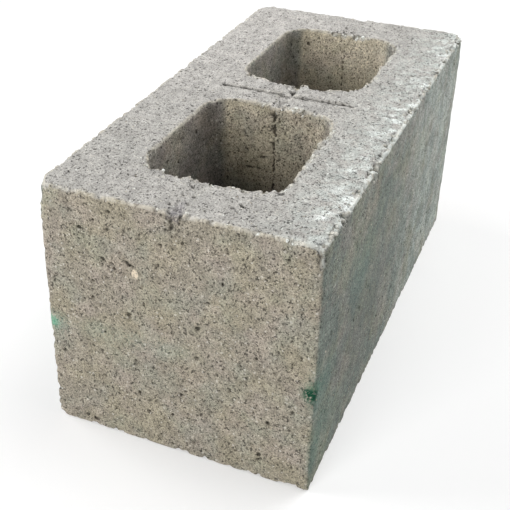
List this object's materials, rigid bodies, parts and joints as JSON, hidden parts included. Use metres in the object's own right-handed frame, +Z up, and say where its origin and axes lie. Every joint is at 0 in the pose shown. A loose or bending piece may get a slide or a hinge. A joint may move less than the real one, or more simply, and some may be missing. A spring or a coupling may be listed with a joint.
{
  "type": "hollow concrete block",
  "caption": "Hollow dense concrete building block with open cells, a splitting groove and the core bar's marks in its top.",
  "frame": {"origin": "middle of the block's underside", "axes": "+X along the block's length, +Y across its width, +Z up out of the bed face that has the splitting groove"},
  "size_m": [0.44, 0.215, 0.215],
  "materials": {
    "concrete": "rough, open-textured, as pressed"
  },
  "bodies": {
    "root": {"block": "concrete"}
  },
  "joints": []
}
